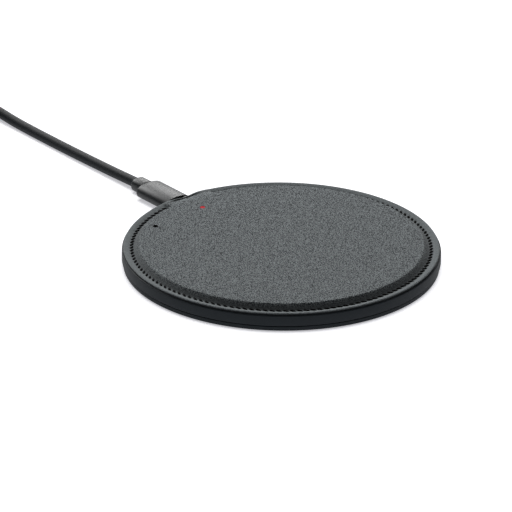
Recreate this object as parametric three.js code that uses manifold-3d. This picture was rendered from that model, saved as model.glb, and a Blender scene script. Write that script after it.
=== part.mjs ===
// Round wireless charging pad with a plug-in USB lead.
//
// Frame: millimetres, +Z up, origin on the pad's own axis at the surface it stands on,
// +Y out through the connector. The lead runs straight out along +Y and its spare
// length lies beside that line in one tied round coil.

import * as THREE from 'three';
import { mergeVertices } from 'three/addons/utils/BufferGeometryUtils.js';
import Module from 'manifold-3d';

const wasm = await Module();
wasm.setup();

const DEG = Math.PI / 180;
const CONNECTOR_ANGLE = 90 * DEG;
const PAD_SEGMENTS = 60;      // round the pad's large turned pieces

// ---- Clearances ------------------------------------------------------------
const rest = 0.05;            // between flat faces that lie on each other
const fit = 0.15;             // around a piece that drops into a pocket
const gap = 0.3;              // around a piece that its neighbour is cut for

// ---- Pad, outside ----------------------------------------------------------
const padDiameter = 100;
const padHeight = 7.4;        // standing surface to the flat of the skin
const footProud = 0.3;        // the anti-slip ring lifts the body by this much
const floorThickness = 1.0;   // base shell
const lipHeight = 1.5;        // base shell, at the outside
const seamWidth = 0.3;        // groove between base shell and top shell
const wallThickness = 1.1;    // top shell, side wall
const deckThickness = 0.9;    // top shell, under the foam
const skinThickness = 0.75;   // over the foam
const rimDrop = 1.05;         // flat of the skin down to its stitched rim
const rimThickness = 0.7;     // skin at the rim
const grooveDepth = 0.38;     // stitched groove, below the rim
const skinInset = 0.5;        // rim edge, in from the side wall
const bandWidth = 2.3;        // rim band outside the groove
const grooveWidth = 0.8;
const shoulderWidth = 2.4;    // slope from the groove up to the flat
const foamInset = 3.1;        // groove's inner side in to the foam
const tongueHalfAngle = 10.6 * DEG;   // skin runs on to the edge over the connector
const scallopDepth = 1.44;    // finger relief in the skin over the plug
const scallopWidth = 10.4;
const threadDiameter = 0.34;

// ---- Pad, inside -----------------------------------------------------------
const ringWidth = 5.2;        // anti-slip ring
const ringSeat = 0.4;         // depth of the ring's seat in the base shell
const ringInset = 5.2;        // side wall in to the ring
const ribThickness = 1.3;     // base shell's locating rib, inside the wall
const ribHeight = 1.9;
const bossInset = 7.8;        // side wall in to the screws
const bossHeight = 0.9;       // base shell's bosses, above its floor
const screwAngles = [22, 158, 230, 310];
const screwHeadDiameter = 3.2;
const screwHeadHeight = 0.5;
const screwDiameter = 1.4;
const ferriteDiameter = 52;
const ferriteThickness = 0.8;
const coilWire = 1.1;
const coilPitch = 1.35;
const coilTurns = 9;
const coilInnerRadius = 10.6;
const leadWire = 0.7;
const boardThickness = 0.8;
const boardHalfAngle = 52 * DEG;
const labelWidth = 34;
const labelDepth = 22;
const labelThickness = 0.2;

// ---- Indicators ------------------------------------------------------------
const powerLightInset = 13.1; // side wall in to the lit power light
const powerLightAngle = 93.2 * DEG;
const powerPipeDiameter = 1.6;
const statusLightInset = 8.5;
const statusLightAngle = 123.4 * DEG;
const statusPipeDiameter = 1.4;
const ledHeight = 0.5;

// ---- USB-C connector and plug ----------------------------------------------
const plugWidth = 10.4;
const plugThickness = 5.1;
const plugSquareness = 3;     // 2 is an ellipse
const plugLength = 15.5;
const plugFloorGap = 0.1;
const plugStandoff = 1.8;     // plug body's front face, out from the side wall
const noseLength = 1.4;
const noseWidth = 9.2;
const noseThickness = 3.9;
const usbCWidth = 8.25;       // plug shell
const usbCThickness = 2.4;
const usbCReach = 6.65;       // plug shell ahead of the nose
const usbCWall = 0.28;
const usbCEmbed = 4.0;        // plug shell inside the nose and body
const portClearance = 0.12;   // plug shell in the receptacle, each side
const portWall = 0.3;
const portInset = 0.7;        // receptacle's mouth, in from the side wall
const portDepth = 6.7;
const tongueThickness = 0.7;
const tongueWidth = 6.7;
const collarWidth = 5.8;
const collarThickness = 4.5;
const collarLength = 5.2;

// ---- Lead ------------------------------------------------------------------
const cordDiameter = 3.4;
const cordFloorGap = 0.1;
const turnSlack = 0.1;        // between neighbouring turns
const coilColumns = 4;        // turns side by side
const coilLayers = 2;         // turns on top of each other
const coilMidRadius = 17.2;   // middle of the turns
const coilDistance = 118;     // side wall to the coil's centre, along +Y
const tieThickness = 0.6;
const tieWidth = 9;
const tieAngle = 60 * DEG;
const tailLength = 12;
const usbAWidth = 12;
const usbAThickness = 4.5;
const usbAReach = 11.8;
const usbAEmbed = 3;
const usbAWall = 0.35;
const usbAHandleWidth = 15.6;
const usbAHandleThickness = 7.8;
const usbAHandleLength = 18;
const usbAReliefLength = 9;
const usbAReliefDiameter = 5.6;

// ---- Derived heights -------------------------------------------------------
const padRadius = padDiameter / 2;
const floorTop = footProud + floorThickness;
const seamBottom = footProud + lipHeight;
const seamTop = seamBottom + seamWidth;
const rimTop = padHeight - rimDrop;
const skinBottom = rimTop - rimThickness;
const grooveFloor = rimTop - grooveDepth;
const foamTop = padHeight - skinThickness - rest;
const deckTop = skinBottom - rest;
const deckBottom = deckTop - deckThickness;
const coilZ = deckBottom - fit - coilWire / 2;
const ferriteTop = coilZ - coilWire / 2 - rest;
const ferriteBottom = ferriteTop - ferriteThickness;
const portZ = plugFloorGap + plugThickness / 2;
const boardBottom = portZ - boardThickness / 2;
const boardTop = portZ + boardThickness / 2;
const partsBase = boardTop + rest;
const headroom = deckBottom - fit - partsBase;

// ---- Derived radii ---------------------------------------------------------
const skinRadius = padRadius - skinInset;
const bandInner = skinRadius - bandWidth;
const grooveInner = bandInner - grooveWidth;
const flatRadius = grooveInner - shoulderWidth;
const foamRadius = grooveInner - foamInset;
const wallInner = padRadius - wallThickness;
const ribOuter = wallInner - gap;
const ribInner = ribOuter - ribThickness;
const ringOuter = padRadius - ringInset;
const ringInner = ringOuter - ringWidth;
const seatRoof = footProud + ringSeat + fit;
const boardOuter = ribInner - gap;
const boardInner = ferriteDiameter / 2 + 1;
const boardMiddle = (boardInner + boardOuter) / 2;
const bossRadius = padRadius - bossInset;
const scallopBottom = skinRadius - scallopDepth;
const scallopRadius = ((scallopWidth / 2) ** 2 + scallopDepth ** 2) / (2 * scallopDepth);

// ---- Derived connector -----------------------------------------------------
const portWidth = usbCWidth + 2 * (portClearance + portWall);
const portHeight = usbCThickness + 2 * (portClearance + portWall);
const portMouth = padRadius - portInset;
const portBack = portMouth - portDepth;
const plugFront = padRadius + plugStandoff;
const noseFront = plugFront - noseLength;
const shellTip = noseFront - usbCReach;
const plugRear = plugFront + plugLength;
const collarFront = plugRear + gap;
const collarRear = collarFront + collarLength;

// ---- Derived lead ----------------------------------------------------------
const turnPitch = cordDiameter + turnSlack;
const turnOuter = coilMidRadius + (coilColumns - 1) * turnPitch / 2;
const coilSolidOuter = turnOuter + turnPitch / 2;
const coilSolidInner = coilMidRadius - coilColumns * turnPitch / 2;
const coilBottom = tieThickness + rest + gap;
const coilTop = coilBottom + coilLayers * turnPitch;
const coilCentre = new THREE.Vector2(-turnOuter, padRadius + coilDistance);
const layerZ = (layer) => coilBottom + turnPitch * (layer + 0.5);
const cordZ = cordFloorGap + cordDiameter / 2;
const coilEntry = Math.sqrt(coilSolidOuter ** 2 - (turnOuter - cordDiameter / 2) ** 2) + gap;
const tailX = coilCentre.x - turnOuter;
const tailStart = coilCentre.y - coilEntry;
const tailEnd = tailStart - tailLength;
const usbAZ = usbAHandleThickness / 2 + rest;
const reliefRear = tailEnd - gap;

// ---- Materials -------------------------------------------------------------
function material(color, roughness, metalness = 0) {
  return new THREE.MeshStandardMaterial({ color, roughness, metalness });
}

const skinGrey = material(0x6b6e71, 0.9);
const threadBlack = material(0x1d1e20, 0.8);
const bodyBlack = material(0x26282b, 0.5);
const rubberBlack = material(0x1b1c1d, 0.85);
const foamGrey = material(0x3a3b3d, 0.95);
const plugBlack = material(0x34373a, 0.55);
const cordBlack = material(0x2a2c2f, 0.6);
const steel = material(0xb9bcc0, 0.3, 1);
const nickel = material(0xc6c2b6, 0.28, 1);
const gold = material(0xd0a552, 0.3, 1);
const copper = material(0xa8623a, 0.4, 1);
const ferriteGrey = material(0x2b2a2c, 0.7);
const boardGreen = material(0x1d4a33, 0.5);
const chipBlack = material(0x17181a, 0.45);
const ceramicTan = material(0x9a7b55, 0.5);
const plasticWhite = material(0xdcdcd6, 0.4);
const clearPlastic = material(0xe6e8ea, 0.15);
const redLight = material(0xff2b2b, 0.3);
const labelGrey = material(0x55585b, 0.7);
const tieBlack = material(0x222326, 0.95);
const usbBlack = material(0x141517, 0.5);

// ---- Geometry helpers ------------------------------------------------------
// Solid of revolution about +Z from [radius, z] pairs, listed up the outside.
function turned(points, segments = 48) {
  const profile = points.map(([r, z]) => new THREE.Vector2(r, z));
  return new THREE.LatheGeometry(profile, segments).rotateX(Math.PI / 2);
}

// Closed ring about +Z: the section's first point is repeated at the end.
function turnedRing(points, segments = 48) {
  return turned([...points, points[0]], segments);
}

function prism(shape, z0, z1, options = {}) {
  const settings = { depth: z1 - z0, bevelEnabled: false, curveSegments: 6, ...options };
  return new THREE.ExtrudeGeometry(shape, settings).translate(0, 0, z0);
}

// Section in x and z carried along +Y, with rounded end edges where wanted.
function alongY(shape, y0, y1, z, bevel = 0) {
  const rounding = {
    bevelEnabled: bevel > 0,
    bevelSize: bevel,
    bevelThickness: bevel,
    bevelOffset: -bevel,
    bevelSegments: 2,
  };
  const body = prism(shape, y0 + bevel, y1 - bevel, rounding);
  return body.rotateX(-Math.PI / 2).translate(0, 0, z);
}

function block(width, depth, height, x, y, z) {
  return new THREE.BoxGeometry(width, depth, height).translate(x, y, z + height / 2);
}

function rod(radius, z0, z1, x = 0, y = 0, sides = 12) {
  const body = new THREE.CylinderGeometry(radius, radius, z1 - z0, sides);
  return body.rotateX(Math.PI / 2).translate(x, y, (z0 + z1) / 2);
}

function tube(curve, radius, sides, steps) {
  const section = new THREE.Shape();
  for (let i = 0; i < sides; i += 1) {
    const angle = (i + 0.5) / sides * 2 * Math.PI;
    const x = radius * Math.cos(angle);
    const y = radius * Math.sin(angle);
    if (i === 0) section.moveTo(x, y);
    else section.lineTo(x, y);
  }
  section.closePath();
  return new THREE.ExtrudeGeometry(section, { extrudePath: curve, steps, bevelEnabled: false });
}

// Slot-shaped section with round ends.
function stadium(width, height) {
  const r = height / 2;
  const half = width / 2 - r;
  const shape = new THREE.Shape();
  shape.moveTo(-half, -r);
  shape.lineTo(half, -r);
  shape.absarc(half, 0, r, -Math.PI / 2, Math.PI / 2, false);
  shape.lineTo(-half, r);
  shape.absarc(-half, 0, r, Math.PI / 2, 1.5 * Math.PI, false);
  return shape;
}

// Flattened oval, squarer than an ellipse, like a moulded grip.
function oval(width, height, squareness = 2.7, count = 24) {
  const shape = new THREE.Shape();
  for (let i = 0; i < count; i += 1) {
    const angle = i / count * 2 * Math.PI;
    const c = Math.cos(angle);
    const s = Math.sin(angle);
    const x = width / 2 * Math.sign(c) * Math.abs(c) ** (2 / squareness);
    const y = height / 2 * Math.sign(s) * Math.abs(s) ** (2 / squareness);
    if (i === 0) shape.moveTo(x, y);
    else shape.lineTo(x, y);
  }
  shape.closePath();
  return shape;
}

function roundedBox(width, height, r) {
  const x = width / 2;
  const y = height / 2;
  const shape = new THREE.Shape();
  shape.moveTo(-x + r, -y);
  shape.lineTo(x - r, -y);
  shape.absarc(x - r, -y + r, r, -Math.PI / 2, 0, false);
  shape.lineTo(x, y - r);
  shape.absarc(x - r, y - r, r, 0, Math.PI / 2, false);
  shape.lineTo(-x + r, y);
  shape.absarc(-x + r, y - r, r, Math.PI / 2, Math.PI, false);
  shape.lineTo(-x, -y + r);
  shape.absarc(-x + r, -y + r, r, Math.PI, 1.5 * Math.PI, false);
  return shape;
}

function ringWedge(inner, outer, from, to) {
  const shape = new THREE.Shape();
  shape.absarc(0, 0, outer, from, to, false);
  shape.absarc(0, 0, inner, to, from, true);
  shape.closePath();
  return shape;
}

// Closed mesh to a solid that can be joined and cut.
function solid(geometry) {
  const bare = geometry.clone();
  bare.deleteAttribute('normal');
  bare.deleteAttribute('uv');
  const merged = mergeVertices(bare, 1e-4);
  const index = merged.index.array;
  const kept = [];
  for (let i = 0; i < index.length; i += 3) {
    const [a, b, c] = [index[i], index[i + 1], index[i + 2]];
    if (a !== b && b !== c && c !== a) kept.push(a, b, c);
  }
  return new wasm.Manifold(new wasm.Mesh({
    numProp: 3,
    vertProperties: new Float32Array(merged.attributes.position.array),
    triVerts: new Uint32Array(kept),
  }));
}

function surface(body) {
  const mesh = body.getMesh();
  const geometry = new THREE.BufferGeometry();
  geometry.setAttribute('position', new THREE.BufferAttribute(mesh.vertProperties, 3));
  geometry.setIndex(new THREE.BufferAttribute(mesh.triVerts, 1));
  geometry.computeVertexNormals();
  return geometry;
}

function cut(geometry, tools) {
  return surface(tools.reduce((body, tool) => body.subtract(solid(tool)), solid(geometry)));
}

function join(geometries) {
  const [first, ...others] = geometries;
  return surface(others.reduce((body, other) => body.add(solid(other)), solid(first)));
}

function polar(radius, angle) {
  return [radius * Math.cos(angle), radius * Math.sin(angle)];
}

const object = new THREE.Group();

function add(parent, name, geometry, mat) {
  const mesh = new THREE.Mesh(geometry, mat);
  mesh.name = name;
  parent.add(mesh);
  return mesh;
}

// ---- Places shared by several pieces ---------------------------------------
const powerLight = polar(padRadius - powerLightInset, powerLightAngle);
const statusLight = polar(padRadius - statusLightInset, statusLightAngle);

// Room for the receptacle: through the side wall and down into the base.
function portCutter() {
  const room = stadium(portWidth + 2 * gap, portHeight + 2 * gap);
  return alongY(room, portBack - gap, padRadius + 5, portZ);
}

// Shallow finger relief over the plug, from height z up.
function scallopCutter(z) {
  return rod(scallopRadius, z, padHeight + 2, 0, scallopBottom + scallopRadius, 36);
}

// ---- Top: skin, stitching and foam -----------------------------------------
function makeSkin() {
  const main = turned([
    [0, foamTop + rest],
    [foamRadius + gap, foamTop + rest],
    [foamRadius + gap, skinBottom],
    [skinRadius, skinBottom],
    [skinRadius, rimTop - 0.22],
    [skinRadius - 0.25, rimTop - 0.04],
    [skinRadius - 1.0, rimTop],
    [bandInner + 0.35, rimTop - 0.06],
    [bandInner, grooveFloor],
    [grooveInner, grooveFloor],
    [grooveInner - 0.2 * shoulderWidth, rimTop + 0.15],
    [grooveInner - 0.42 * shoulderWidth, padHeight - 0.45],
    [grooveInner - 0.66 * shoulderWidth, padHeight - 0.12],
    [flatRadius, padHeight],
    [0, padHeight],
  ], PAD_SEGMENTS);
  const runOut = turnedRing([
    [foamRadius + gap + 0.1, skinBottom],
    [skinRadius, skinBottom],
    [skinRadius, rimTop - 0.22],
    [skinRadius - 0.3, rimTop + 0.05],
    [skinRadius - 1.1, padHeight - 0.72],
    [skinRadius - 2.4, padHeight - 0.42],
    [skinRadius - 4.2, padHeight - 0.2],
    [foamRadius + gap + 0.1, padHeight - 0.2],
  ], PAD_SEGMENTS);
  const wedge = prism(ringWedge(
    foamRadius,
    padRadius + 4,
    CONNECTOR_ANGLE - tongueHalfAngle,
    CONNECTOR_ANGLE + tongueHalfAngle,
  ), 0, padHeight + 2);
  const tongue = solid(runOut).intersect(solid(wedge));
  const whole = solid(main).add(tongue);
  const tools = [
    scallopCutter(0),
    rod(powerPipeDiameter / 2 + fit, 0, padHeight + 2, ...powerLight),
    rod(statusPipeDiameter / 2, 0, padHeight + 2, ...statusLight),
  ];
  return surface(tools.reduce((body, tool) => body.subtract(solid(tool)), whole));
}

function makeThread() {
  const margin = tongueHalfAngle + 0.6 * DEG;
  const radius = (bandInner + grooveInner) / 2;
  const z = grooveFloor + rest + threadDiameter / 2;
  class ThreadLine extends THREE.Curve {
    getPoint(t, target = new THREE.Vector3()) {
      const angle = CONNECTOR_ANGLE + margin + t * (2 * Math.PI - 2 * margin);
      return target.set(radius * Math.cos(angle), radius * Math.sin(angle), z);
    }
  }
  return tube(new ThreadLine(), threadDiameter / 2, 5, 72);
}

function makeFoam() {
  const disc = turned([
    [0, skinBottom],
    [foamRadius, skinBottom],
    [foamRadius, foamTop],
    [0, foamTop],
  ], PAD_SEGMENTS);
  return cut(disc, [
    rod(powerPipeDiameter / 2 + gap, 0, padHeight, ...powerLight),
    rod(statusPipeDiameter / 2 + gap, 0, padHeight, ...statusLight),
  ]);
}

add(object, 'top_skin', makeSkin(), skinGrey);
add(object, 'stitching', makeThread(), threadBlack);
add(object, 'foam_pad', makeFoam(), foamGrey);

// ---- Shells ----------------------------------------------------------------
const bossGap = rest;                      // between the two bosses of a pair
const bossSplit = floorTop + bossHeight;   // where base boss meets top boss
const screwTip = deckBottom - fit;
const headSeat = seatRoof + screwHeadHeight + fit;

function makeTopShell() {
  const body = turned([
    [0, deckBottom],
    [wallInner, deckBottom],
    [wallInner, seamTop],
    [padRadius - 0.25, seamTop],
    [padRadius, seamTop + 0.25],
    [padRadius, deckTop - 0.35],
    [padRadius - 0.12, deckTop - 0.13],
    [padRadius - 0.4, deckTop],
    [0, deckTop],
  ], PAD_SEGMENTS);
  const bosses = screwAngles.map((angle) => {
    const [x, y] = polar(bossRadius, angle * DEG);
    return rod(screwDiameter / 2 + 1.3, bossSplit + bossGap, deckBottom + 0.2, x, y, 12);
  });
  const pilots = screwAngles.map((angle) => {
    const [x, y] = polar(bossRadius, angle * DEG);
    return rod(screwDiameter / 2 + fit, 0, screwTip + 2 * fit, x, y);
  });
  const relief = portZ + portHeight / 2 + gap + 0.45;
  return cut(join([body, ...bosses]), [
    ...pilots,
    portCutter(),
    scallopCutter(relief),
    rod(powerPipeDiameter / 2 + fit, 0, padHeight, ...powerLight),
    rod(statusPipeDiameter / 2 + fit, 0, padHeight, ...statusLight),
  ]);
}

const boardPegs = [
  [boardMiddle + 3, 50 * DEG],
  [boardMiddle + 3, 130 * DEG],
  [boardInner + 3, 84 * DEG],
];

function makeBaseShell() {
  const platformOuter = ferriteDiameter / 2 - 2;
  const platformTop = ferriteBottom - rest;
  const body = turned([
    [0, footProud],
    [ringInner - fit, footProud],
    [ringInner - fit, seatRoof],
    [ringOuter + fit, seatRoof],
    [ringOuter + fit, footProud],
    [padRadius - 1.5, footProud],
    [padRadius - 0.75, footProud + 0.2],
    [padRadius - 0.4, footProud + 0.65],
    [padRadius - 0.4, seamBottom - 0.15],
    [padRadius - 0.55, seamBottom],
    [ribOuter, seamBottom],
    [ribOuter, floorTop + ribHeight],
    [ribInner, floorTop + ribHeight],
    [ribInner, floorTop],
    [platformOuter, floorTop],
    [platformOuter, platformTop],
    [platformOuter - 5, platformTop],
    [platformOuter - 5, floorTop],
    [0, floorTop],
  ], PAD_SEGMENTS);
  const bosses = screwAngles.map((angle) => {
    const [x, y] = polar(bossRadius, angle * DEG);
    return rod(screwHeadDiameter / 2 + gap + 0.9, seatRoof + 0.1, bossSplit, x, y, 16);
  });
  const pegs = boardPegs.map(([radius, angle]) => {
    const [x, y] = polar(radius, angle);
    return rod(1.3, floorTop - 0.2, boardBottom - rest, x, y, 12);
  });
  const screwRooms = screwAngles.flatMap((angle) => {
    const [x, y] = polar(bossRadius, angle * DEG);
    return [
      rod(screwHeadDiameter / 2 + gap, 0, headSeat, x, y, 16),
      rod(screwDiameter / 2 + gap, 0, padHeight, x, y),
    ];
  });
  const labelRoom = block(
    labelWidth + 2 * gap,
    labelDepth + 2 * gap,
    footProud + labelThickness + rest,
    0,
    0,
    0,
  );
  return cut(join([body, ...bosses, ...pegs]), [...screwRooms, portCutter(), labelRoom]);
}

function makeRing() {
  return turnedRing([
    [ringInner + 0.2, 0],
    [ringOuter - 0.2, 0],
    [ringOuter, 0.2],
    [ringOuter, footProud + ringSeat],
    [ringInner, footProud + ringSeat],
    [ringInner, 0.2],
  ], PAD_SEGMENTS);
}

function makeScrew() {
  const head = seatRoof + rest;
  const under = head + screwHeadHeight;
  const body = turned([
    [0, head],
    [screwHeadDiameter / 2 - 0.15, head],
    [screwHeadDiameter / 2, head + 0.15],
    [screwDiameter / 2 + 0.35, under],
    [screwDiameter / 2, under],
    [screwDiameter / 2, screwTip - 0.4],
    [screwDiameter / 4, screwTip],
    [0, screwTip],
  ], 16);
  const slot = 0.36;
  const reach = screwHeadDiameter * 0.62;
  return cut(body, [
    block(reach, slot, 0.3, 0, 0, head - 0.05),
    block(slot, reach, 0.3, 0, 0, head - 0.05),
  ]);
}

add(object, 'top_shell', makeTopShell(), bodyBlack);
add(object, 'base_shell', makeBaseShell(), bodyBlack);
add(object, 'anti_slip_ring', makeRing(), rubberBlack);
const label = roundedBox(labelWidth, labelDepth, 1.5);
add(object, 'blank_label', prism(label, footProud, footProud + labelThickness), labelGrey);
screwAngles.forEach((angle, i) => {
  const screw = add(object, `case_screw_${i + 1}`, makeScrew(), steel);
  const [x, y] = polar(bossRadius, angle * DEG);
  screw.position.set(x, y, 0);
});

// ---- Charging coil and its ferrite -----------------------------------------
function makeFerrite() {
  const disc = turned([
    [0, ferriteBottom],
    [ferriteDiameter / 2, ferriteBottom],
    [ferriteDiameter / 2, ferriteTop],
    [0, ferriteTop],
  ], 48);
  const slotStart = coilInnerRadius - 2.8;
  const slotLength = ferriteDiameter / 2 - slotStart + 2;
  const slot = block(
    leadWire + 2 * gap,
    slotLength,
    ferriteThickness + 1,
    0,
    slotStart + slotLength / 2,
    ferriteBottom - 0.5,
  );
  return cut(disc, [slot]);
}

function makeChargingCoil() {
  class FlatSpiral extends THREE.Curve {
    getPoint(t, target = new THREE.Vector3()) {
      const angle = CONNECTOR_ANGLE + t * coilTurns * 2 * Math.PI;
      const radius = coilInnerRadius + t * coilTurns * coilPitch;
      return target.set(radius * Math.cos(angle), radius * Math.sin(angle), coilZ);
    }
  }
  return tube(new FlatSpiral(), coilWire / 2, 6, coilTurns * 14);
}

const leadEndZ = partsBase + fit + leadWire / 2;

function makeInnerLead() {
  const inSlot = ferriteTop - fit / 2 - leadWire / 2;
  const edge = ferriteDiameter / 2;
  const route = new THREE.CatmullRomCurve3([
    new THREE.Vector3(0, coilInnerRadius - 2.2, inSlot),
    new THREE.Vector3(0, (coilInnerRadius + edge) / 2, inSlot),
    new THREE.Vector3(0, edge - 1.5, inSlot),
    new THREE.Vector3(0.5, edge + 0.3, (inSlot + leadEndZ) / 2 + 0.2),
    new THREE.Vector3(2.2, edge + 2.2, leadEndZ),
    new THREE.Vector3(3.4, edge + 4.2, leadEndZ),
  ], false, 'centripetal');
  return tube(route, leadWire / 2, 6, 16);
}

// Leaves the outermost turn level, and drops to the board once past the ferrite.
function makeOuterLead() {
  const edge = ferriteDiameter / 2;
  const outer = coilInnerRadius + coilTurns * coilPitch;
  const route = new THREE.CatmullRomCurve3([
    new THREE.Vector3(-gap, outer + 0.05, coilZ),
    new THREE.Vector3(-2.6, outer + 0.6, coilZ),
    new THREE.Vector3(-5.0, edge + 0.3, coilZ - 0.1),
    new THREE.Vector3(-5.6, edge + 2.2, leadEndZ),
    new THREE.Vector3(-5.8, edge + 3.8, leadEndZ),
  ], false, 'centripetal');
  return tube(route, leadWire / 2, 6, 14);
}

add(object, 'ferrite_sheet', makeFerrite(), ferriteGrey);
add(object, 'charging_coil', makeChargingCoil(), copper);
add(object, 'coil_lead_inner', makeInnerLead(), copper);
add(object, 'coil_lead_outer', makeOuterLead(), copper);

// ---- Circuit board ---------------------------------------------------------
function makeBoard() {
  const outline = ringWedge(
    boardInner,
    boardOuter,
    CONNECTOR_ANGLE - boardHalfAngle,
    CONNECTOR_ANGLE + boardHalfAngle,
  );
  const plate = prism(outline, boardBottom, boardTop, { curveSegments: 24 });
  const notch = block(
    portWidth + 2 * gap,
    padRadius - portBack + gap,
    3,
    0,
    (padRadius + portBack - gap) / 2,
    portZ - 1.5,
  );
  return cut(plate, [notch]);
}

add(object, 'circuit_board', makeBoard(), boardGreen);

// Name, radius, angle in degrees, width, depth, share of the headroom, material.
const boardParts = [
  ['controller_ic', boardMiddle - 0.4, 69, 5, 5, 0.65, chipBlack],
  ['bridge_mosfet_1', boardMiddle + 3.2, 56, 3.3, 3.3, 0.6, chipBlack],
  ['bridge_mosfet_2', boardMiddle - 3.6, 56, 3.3, 3.3, 0.6, chipBlack],
  ['power_inductor', boardMiddle + 0.2, 107, 5, 5, 0.95, chipBlack],
  ['resonant_capacitor_1', boardMiddle - 4.2, 46, 3.2, 1.6, 0.85, ceramicTan],
  ['resonant_capacitor_2', boardMiddle - 1.4, 46, 3.2, 1.6, 0.85, ceramicTan],
  ['resonant_capacitor_3', boardMiddle + 1.4, 46, 3.2, 1.6, 0.85, ceramicTan],
  ['resonant_capacitor_4', boardMiddle + 4.2, 46, 3.2, 1.6, 0.85, ceramicTan],
  ['input_capacitor_1', boardMiddle - 4.6, 117, 3.2, 2.4, 0.9, ceramicTan],
  ['input_capacitor_2', boardMiddle - 0.8, 117, 3.2, 2.4, 0.9, ceramicTan],
  ['sense_resistor', boardMiddle - 5.4, 76, 3.2, 1.6, 0.4, chipBlack],
  ['thermistor', boardInner + 1.6, 99, 1.6, 0.8, 0.5, chipBlack],
];

for (const [name, radius, angle, width, depth, share, mat] of boardParts) {
  const part = add(object, name, block(width, depth, share * headroom, 0, 0, 0), mat);
  const [x, y] = polar(radius, angle * DEG);
  part.position.set(x, y, partsBase);
  part.rotation.z = angle * DEG - Math.PI / 2;
}

// ---- Indicator lights ------------------------------------------------------
const pipeBottom = partsBase + ledHeight + fit;
const indicators = [
  ['power', powerLight, powerPipeDiameter, padHeight - 0.05, redLight],
  ['status', statusLight, statusPipeDiameter, deckTop - 0.3, clearPlastic],
];

for (const [name, [x, y], diameter, top, mat] of indicators) {
  add(object, `${name}_led`, block(1.6, 0.8, ledHeight, x, y, partsBase), plasticWhite);
  add(object, `${name}_light_pipe`, rod(diameter / 2, pipeBottom, top, x, y), mat);
}

// ---- USB-C receptacle ------------------------------------------------------
function sleeve(width, thickness, wall, y0, y1, z) {
  const section = stadium(width, thickness);
  section.holes.push(stadium(width - 2 * wall, thickness - 2 * wall));
  return alongY(section, y0, y1, z);
}

function makeReceptacleTongue() {
  const innerWidth = usbCWidth + 2 * portClearance - 2 * fit;
  const innerHeight = usbCThickness + 2 * portClearance - 2 * fit;
  const backDepth = shellTip - gap - portBack;
  const back = alongY(stadium(innerWidth, innerHeight), portBack, portBack + backDepth, portZ);
  const tip = portMouth - 0.4;
  const length = tip - portBack;
  const blade = block(
    tongueWidth,
    length,
    tongueThickness,
    0,
    portBack + length / 2,
    portZ - tongueThickness / 2,
  );
  return join([back, blade]);
}

const receptacle = sleeve(portWidth, portHeight, portWall, portBack, portMouth, portZ);
add(object, 'receptacle_shell', receptacle, steel);
add(object, 'receptacle_tongue', makeReceptacleTongue(), chipBlack);

// ---- USB-C plug ------------------------------------------------------------
function makePlugBody() {
  const body = alongY(oval(plugWidth, plugThickness, plugSquareness), plugFront, plugRear, portZ, 0.7);
  const nose = alongY(stadium(noseWidth, noseThickness), noseFront, plugFront + 1, portZ);
  const socket = stadium(usbCWidth + 2 * fit, usbCThickness + 2 * fit);
  const pocket = alongY(socket, noseFront - 1, noseFront + usbCEmbed + fit, portZ);
  return cut(join([body, nose]), [pocket]);
}

const insertFront = portMouth - 0.4 + gap;
const shellRear = noseFront + usbCEmbed;
const insertWidth = usbCWidth - 2 * (usbCWall + fit);
const insertHeight = usbCThickness - 2 * (usbCWall + fit);

const plugShell = sleeve(usbCWidth, usbCThickness, usbCWall, shellTip, shellRear, portZ);
add(object, 'usb_c_shell', plugShell, nickel);
const plugInsert = alongY(stadium(insertWidth, insertHeight), insertFront, shellRear - fit, portZ);
add(object, 'usb_c_insert', plugInsert, usbBlack);

// Two rows of contacts, one each side of the receptacle's tongue.
const rowThickness = 0.18;
const rowOffset = (tongueThickness / 2 + usbCThickness / 2 - usbCWall) / 2;
const rowLength = insertFront - fit - shellTip - 0.6;
for (const [name, side] of [['upper', 1], ['lower', -1]]) {
  const row = block(
    tongueWidth - 0.8,
    rowLength,
    rowThickness,
    0,
    shellTip + 0.6 + rowLength / 2,
    portZ + side * rowOffset - rowThickness / 2,
  );
  add(object, `usb_c_contacts_${name}`, row, gold);
}

add(object, 'usb_c_overmould', makePlugBody(), plugBlack);
const collarZ = Math.max(portZ - 0.15, collarThickness / 2 + plugFloorGap);
const collar = alongY(oval(collarWidth, collarThickness), collarFront, collarRear, collarZ, 0.5);
add(object, 'usb_c_strain_relief', collar, plugBlack);

// ---- Lead: straight run, wound coil, tie and tail --------------------------
const leadStart = collarRear + gap;
const leadStop = coilCentre.y - coilEntry;
const leadRun = leadStop - leadStart;

// Share of the run from the collar to the coil, and height of the cord's centre.
const leadHeights = [
  [0, collarZ - 0.05],
  [0.12, collarZ - 0.15],
  [0.35, cordZ + 0.25],
  [0.55, cordZ],
  [0.75, cordZ + 0.15],
  [0.9, layerZ(0) - 0.1],
  [1, layerZ(0)],
];

function makeLead() {
  const points = leadHeights.map(([share, z]) => (
    new THREE.Vector3(0, leadStart + share * leadRun, z)
  ));
  return tube(new THREE.CatmullRomCurve3(points, false, 'centripetal'), cordDiameter / 2, 8, 12);
}

function makeTail() {
  // Level at both ends, so that its end faces stay square to the coil and the plug.
  const top = layerZ(coilLayers - 1);
  const points = [[0, top], [0.15, top], [0.8, usbAZ], [1, usbAZ]].map(([share, z]) => (
    new THREE.Vector3(tailX, tailStart - share * tailLength, z)
  ));
  return tube(new THREE.CatmullRomCurve3(points, false, 'centripetal'), cordDiameter / 2, 8, 6);
}

function makeWoundCoil() {
  return turnedRing([
    [coilSolidInner + 0.8, coilBottom],
    [coilSolidOuter - 0.8, coilBottom],
    [coilSolidOuter, coilBottom + 0.8],
    [coilSolidOuter, coilTop - 0.8],
    [coilSolidOuter - 0.8, coilTop],
    [coilSolidInner + 0.8, coilTop],
    [coilSolidInner, coilTop - 0.8],
    [coilSolidInner, coilBottom + 0.8],
  ], 32);
}

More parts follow.
